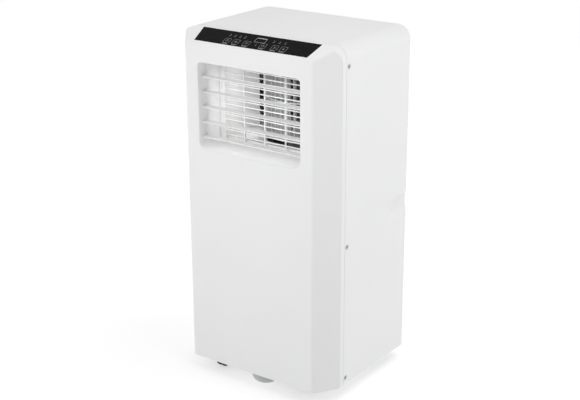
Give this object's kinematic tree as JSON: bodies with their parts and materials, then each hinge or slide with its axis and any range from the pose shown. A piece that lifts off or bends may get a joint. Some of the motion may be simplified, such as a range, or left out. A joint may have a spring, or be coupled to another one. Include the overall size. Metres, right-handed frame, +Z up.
{
  "type": "portable air conditioner",
  "caption": "Upright white cabinet on hidden casters with a chamfered front, a louvered air outlet over an upright drum blower, a sloping touch panel and a rear hose socket.",
  "frame": {"origin": "centre of the cabinet's plan, on the floor under the casters", "axes": "+Z up, the front with the air outlet faces -Y, +X is the right side seen from the front"},
  "size_m": [0.355, 0.28, 0.69],
  "materials": {
    "white_shell": "fine satin grain",
    "white_parts": "satin",
    "duct_grey": "satin",
    "drum_grey": "satin",
    "panel_black": "polished",
    "circuit_green": "satin",
    "display_dark": "polished",
    "steel": "zinc plated",
    "pan_grey": "satin",
    "caster_black": "satin",
    "compressor_black": "satin",
    "copper": "drawn",
    "fins": "rolled",
    "motor_metal": "satin",
    "rubber_black": "matt",
    "rubber_white": "matt",
    "filter_net": "woven",
    "capacitor_can": "satin"
  },
  "bodies": {
    "housing": {"front_shell": "white_shell", "rear_housing": "white_shell", "casing_screws": "steel", "outlet_duct": "duct_grey", "safety_grid": "white_parts", "control_lens": "panel_black", "control_tray": "white_parts", "control_board": "circuit_green", "display_module": "display_dark", "touch_springs": "steel", "upper_scroll": "duct_grey", "upper_scroll_cover": "duct_grey", "upper_fan_motor": "motor_metal", "mid_deck": "duct_grey", "evaporator_fins": "fins", "evaporator_bends": "copper", "condenser_fins": "fins", "condenser_bends": "copper", "lower_scroll": "duct_grey", "lower_scroll_cover": "duct_grey", "lower_fan_motor": "motor_metal", "exhaust_duct": "duct_grey", "exhaust_socket": "white_parts", "base_pan": "pan_grey", "sump_bowl": "pan_grey", "compressor": "compressor_black", "compressor_grommets": "rubber_black", "terminal_cover": "caster_black", "accumulator": "compressor_black", "suction_pipe": "copper", "discharge_pipe": "copper", "liquid_line": "copper", "electrical_box": "steel", "power_board": "circuit_green", "capacitor": "capacitor_can", "float_switch": "white_parts", "drain_outlets": "pan_grey", "mains_inlet": "rubber_black"},
    "louver_1": {"louver_1": "white_parts"},
    "louver_2": {"louver_2": "white_parts"},
    "louver_3": {"louver_3": "white_parts"},
    "louver_4": {"louver_4": "white_parts"},
    "louver_5": {"louver_5": "white_parts"},
    "louver_link": {"louver_link": "white_parts"},
    "upper_blower": {"upper_blower": "drum_grey"},
    "lower_blower": {"lower_blower": "drum_grey"},
    "upper_filter_door": {"upper_intake_frame": "white_parts", "upper_filter": "filter_net"},
    "lower_filter_door": {"lower_intake_frame": "white_parts", "lower_filter": "filter_net"},
    "upper_drain_cap": {"upper_drain_cap": "rubber_white"},
    "lower_drain_cap": {"lower_drain_cap": "rubber_white"},
    "caster_fork_front_left": {"caster_fork_front_left": "caster_black"},
    "caster_wheels_front_left": {"caster_wheels_front_left": "caster_black"},
    "caster_fork_front_right": {"caster_fork_front_right": "caster_black"},
    "caster_wheels_front_right": {"caster_wheels_front_right": "caster_black"},
    "caster_fork_rear_left": {"caster_fork_rear_left": "caster_black"},
    "caster_wheels_rear_left": {"caster_wheels_rear_left": "caster_black"},
    "caster_fork_rear_right": {"caster_fork_rear_right": "caster_black"},
    "caster_wheels_rear_right": {"caster_wheels_rear_right": "caster_black"}
  },
  "joints": [
    {"name": "louver_1_tilt", "type": "hinge", "parent": "housing", "child": "louver_1", "pos_m": [0, -0.123, 0.4871], "axis": [1, 0, 0], "range_deg": [-35, 35]},
    {"name": "louver_2_tilt", "type": "hinge", "parent": "housing", "child": "louver_2", "pos_m": [0, -0.123, 0.5162], "axis": [1, 0, 0], "range_deg": [-35, 35]},
    {"name": "louver_3_tilt", "type": "hinge", "parent": "housing", "child": "louver_3", "pos_m": [0, -0.123, 0.5453], "axis": [1, 0, 0], "range_deg": [-35, 35]},
    {"name": "louver_4_tilt", "type": "hinge", "parent": "housing", "child": "louver_4", "pos_m": [0, -0.123, 0.5744], "axis": [1, 0, 0], "range_deg": [-35, 35]},
    {"name": "louver_5_tilt", "type": "hinge", "parent": "housing", "child": "louver_5", "pos_m": [0, -0.123, 0.6035], "axis": [1, 0, 0], "range_deg": [-35, 35]},
    {"name": "louver_link_swing", "type": "hinge", "parent": "louver_3", "child": "louver_link", "pos_m": [0, -0.112, 0.5453], "axis": [1, 0, 0], "range_deg": [-35, 35]},
    {"name": "upper_blower_spin", "type": "hinge", "parent": "housing", "child": "upper_blower", "pos_m": [0.033, 0.005, 0.56], "axis": [0, 0, 1], "continuous": true},
    {"name": "lower_blower_spin", "type": "hinge", "parent": "housing", "child": "lower_blower", "pos_m": [0.066, 0, 0.165], "axis": [0, 1, 0], "continuous": true},
    {"name": "upper_filter_pull", "type": "slide", "parent": "housing", "child": "upper_filter_door", "axis": [0, 1, 0], "range_m": [0, 0.08]},
    {"name": "lower_filter_pull", "type": "slide", "parent": "housing", "child": "lower_filter_door", "axis": [0, 1, 0], "range_m": [0, 0.08]},
    {"name": "upper_drain_pull", "type": "slide", "parent": "housing", "child": "upper_drain_cap", "axis": [0, 1, 0], "range_m": [0, 0.03]},
    {"name": "lower_drain_pull", "type": "slide", "parent": "housing", "child": "lower_drain_cap", "axis": [0, 1, 0], "range_m": [0, 0.03]},
    {"name": "caster_front_left_swivel", "type": "hinge", "parent": "housing", "child": "caster_fork_front_left", "pos_m": [-0.097, -0.094, 0.04], "axis": [0, 0, 1], "continuous": true},
    {"name": "caster_front_left_roll", "type": "hinge", "parent": "caster_fork_front_left", "child": "caster_wheels_front_left", "pos_m": [-0.097, -0.104, 0.016], "axis": [1, 0, 0], "continuous": true},
    {"name": "caster_front_right_swivel", "type": "hinge", "parent": "housing", "child": "caster_fork_front_right", "pos_m": [0.097, -0.094, 0.04], "axis": [0, 0, 1], "continuous": true},
    {"name": "caster_front_right_roll", "type": "hinge", "parent": "caster_fork_front_right", "child": "caster_wheels_front_right", "pos_m": [0.097, -0.084, 0.016], "axis": [1, 0, 0], "continuous": true},
    {"name": "caster_rear_left_swivel", "type": "hinge", "parent": "housing", "child": "caster_fork_rear_left", "pos_m": [-0.118, 0.092, 0.04], "axis": [0, 0, 1], "continuous": true},
    {"name": "caster_rear_left_roll", "type": "hinge", "parent": "caster_fork_rear_left", "child": "caster_wheels_rear_left", "pos_m": [-0.118, 0.102, 0.016], "axis": [1, 0, 0], "continuous": true},
    {"name": "caster_rear_right_swivel", "type": "hinge", "parent": "housing", "child": "caster_fork_rear_right", "pos_m": [0.118, 0.092, 0.04], "axis": [0, 0, 1], "continuous": true},
    {"name": "caster_rear_right_roll", "type": "hinge", "parent": "caster_fork_rear_right", "child": "caster_wheels_rear_right", "pos_m": [0.118, 0.102, 0.016], "axis": [1, 0, 0], "continuous": true}
  ],
  "couplings": [
    {"joint": "louver_1_tilt", "follows": "louver_3_tilt", "ratio": 1},
    {"joint": "louver_2_tilt", "follows": "louver_3_tilt", "ratio": 1},
    {"joint": "louver_4_tilt", "follows": "louver_3_tilt", "ratio": 1},
    {"joint": "louver_5_tilt", "follows": "louver_3_tilt", "ratio": 1},
    {"joint": "louver_link_swing", "follows": "louver_3_tilt", "ratio": -1}
  ]
}
